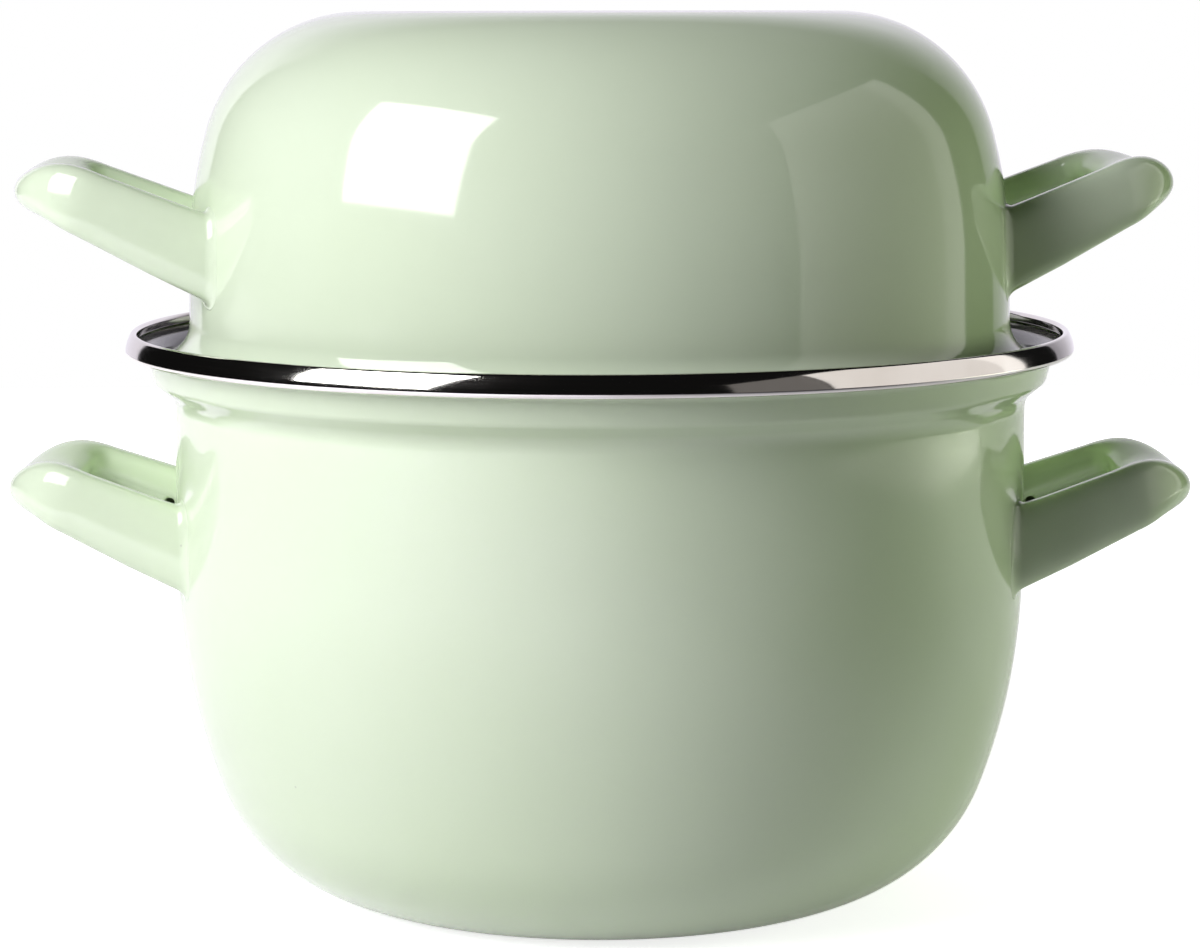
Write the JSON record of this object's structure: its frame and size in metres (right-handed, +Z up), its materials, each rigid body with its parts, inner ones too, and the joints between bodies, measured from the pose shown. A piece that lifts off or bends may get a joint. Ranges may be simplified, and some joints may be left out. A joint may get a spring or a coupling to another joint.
{
  "type": "mussel pot",
  "caption": "Deep enamelled steel pot with strap handles and a polished rim, and a domed deep lid with handles that lifts off and serves as a bowl turned over.",
  "frame": {"origin": "centre of the base's underside, on the pot's axis", "axes": "+Z up along the pot's axis, X through the two handles of the pot"},
  "size_m": [0.3072, 0.245, 0.2283],
  "materials": {
    "green_enamel": "pastel green vitreous enamel, gloss",
    "polished_steel": "polished stainless steel"
  },
  "bodies": {
    "pot": {"pot_shell": "green_enamel", "rim_ring": "polished_steel", "pot_handle_right": "green_enamel", "pot_handle_left": "green_enamel"},
    "lid": {"lid_shell": "green_enamel", "lid_handle_right": "green_enamel", "lid_handle_left": "green_enamel"}
  },
  "joints": [
    {"name": "lid_lift", "type": "slide", "parent": "pot", "child": "lid", "axis": [0, 0, 1], "range_m": [0, 0.12]}
  ]
}
